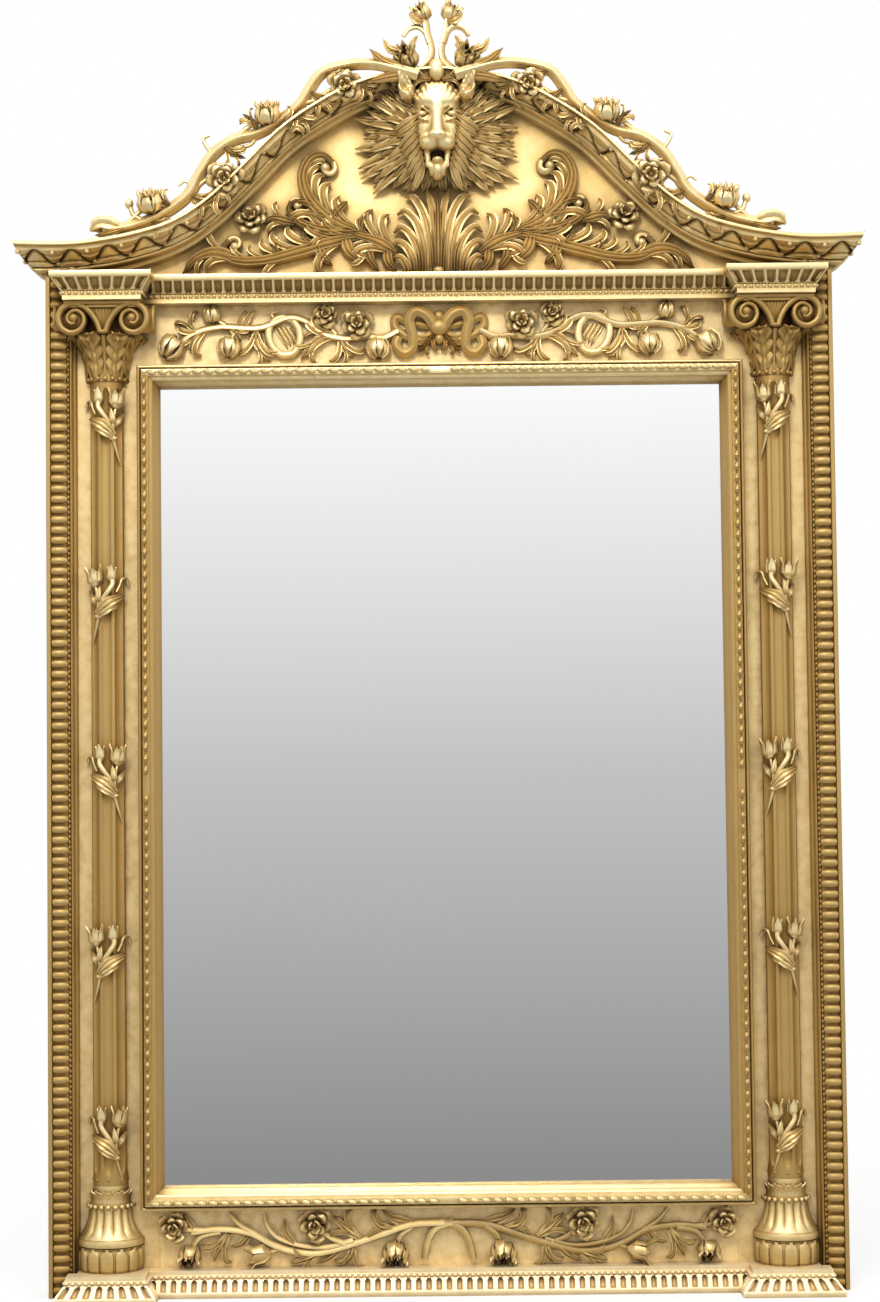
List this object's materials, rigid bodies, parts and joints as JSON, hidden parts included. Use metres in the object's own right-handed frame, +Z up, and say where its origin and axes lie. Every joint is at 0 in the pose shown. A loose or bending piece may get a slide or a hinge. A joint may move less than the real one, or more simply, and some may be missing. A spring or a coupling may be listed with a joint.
{
  "type": "trumeau mirror",
  "caption": "Tall wall mirror in a carved and gilded frame with half columns, entablature, friezes and an arched pediment with a lion mask.",
  "frame": {"origin": "centre of the underside of the bottom rail, the face that would stand on a mantel shelf or floor", "axes": "+Z up, the mirror faces -Y, +Y towards the wall, +X to the right as seen from the front"},
  "size_m": [1.1866, 0.144, 1.803],
  "materials": {
    "gilt_ground": "satin water gilding over gesso, rubbed, with a warm glaze",
    "gilt_carving": "burnished gold leaf on carved wood, with dark patina in the hollows",
    "silvered_glass": "silvered flat glass",
    "bare_pine": "sawn softwood, aged",
    "zinc_steel": "zinc plated"
  },
  "bodies": {
    "frame": {"acanthus_scroll_left": "gilt_carving", "acanthus_scroll_right": "gilt_carving", "backboard": "bare_pine", "base_moulding": "gilt_carving", "bottom_batten": "bare_pine", "bottom_rail": "gilt_ground", "bottom_spray_left": "gilt_carving", "bottom_spray_right": "gilt_carving", "column_base_left": "gilt_carving", "column_base_right": "gilt_carving", "column_capital_left": "gilt_carving", "column_capital_right": "gilt_carving", "column_flower_left_1": "gilt_carving", "column_flower_left_2": "gilt_carving", "column_flower_left_3": "gilt_carving", "column_flower_left_4": "gilt_carving", "column_flower_left_5": "gilt_carving", "column_flower_right_1": "gilt_carving", "column_flower_right_2": "gilt_carving", "column_flower_right_3": "gilt_carving", "column_flower_right_4": "gilt_carving", "column_flower_right_5": "gilt_carving", "column_shaft_left": "gilt_carving", "column_shaft_right": "gilt_carving", "crest_brace_left": "bare_pine", "crest_brace_right": "bare_pine", "crest_finial": "gilt_carving", "crest_vine_left": "gilt_carving", "crest_vine_right": "gilt_carving", "entablature": "gilt_carving", "entablature_block_left": "gilt_carving", "entablature_block_right": "gilt_carving", "fluted_moulding_left": "gilt_carving", "fluted_moulding_right": "gilt_carving", "garland_bow": "gilt_carving", "garland_left": "gilt_carving", "garland_right": "gilt_carving", "hanger_plate_left": "zinc_steel", "hanger_plate_right": "zinc_steel", "hanger_screw_left": "zinc_steel", "hanger_screw_right": "zinc_steel", "lion_head": "gilt_carving", "lion_mane": "gilt_carving", "mirror_glass": "silvered_glass", "plinth_left": "gilt_carving", "plinth_right": "gilt_carving", "plume": "gilt_carving", "raking_cornice_left": "gilt_carving", "raking_cornice_right": "gilt_carving", "sight_moulding_bottom": "gilt_carving", "sight_moulding_left": "gilt_carving", "sight_moulding_right": "gilt_carving", "sight_moulding_top": "gilt_carving", "stile_left": "gilt_ground", "stile_right": "gilt_ground", "top_rail": "gilt_ground", "tympanum_panel": "gilt_ground"},
    "ring_left": {"hanger_ring_left": "zinc_steel"},
    "ring_right": {"hanger_ring_right": "zinc_steel"}
  },
  "joints": [
    {"name": "ring_left_swing", "type": "hinge", "parent": "frame", "child": "ring_left", "pos_m": [-0.477, 0.01825, 1.15], "axis": [1, 0, 0], "range_deg": [0, 180]},
    {"name": "ring_right_swing", "type": "hinge", "parent": "frame", "child": "ring_right", "pos_m": [0.477, 0.01825, 1.15], "axis": [1, 0, 0], "range_deg": [0, 180]}
  ]
}
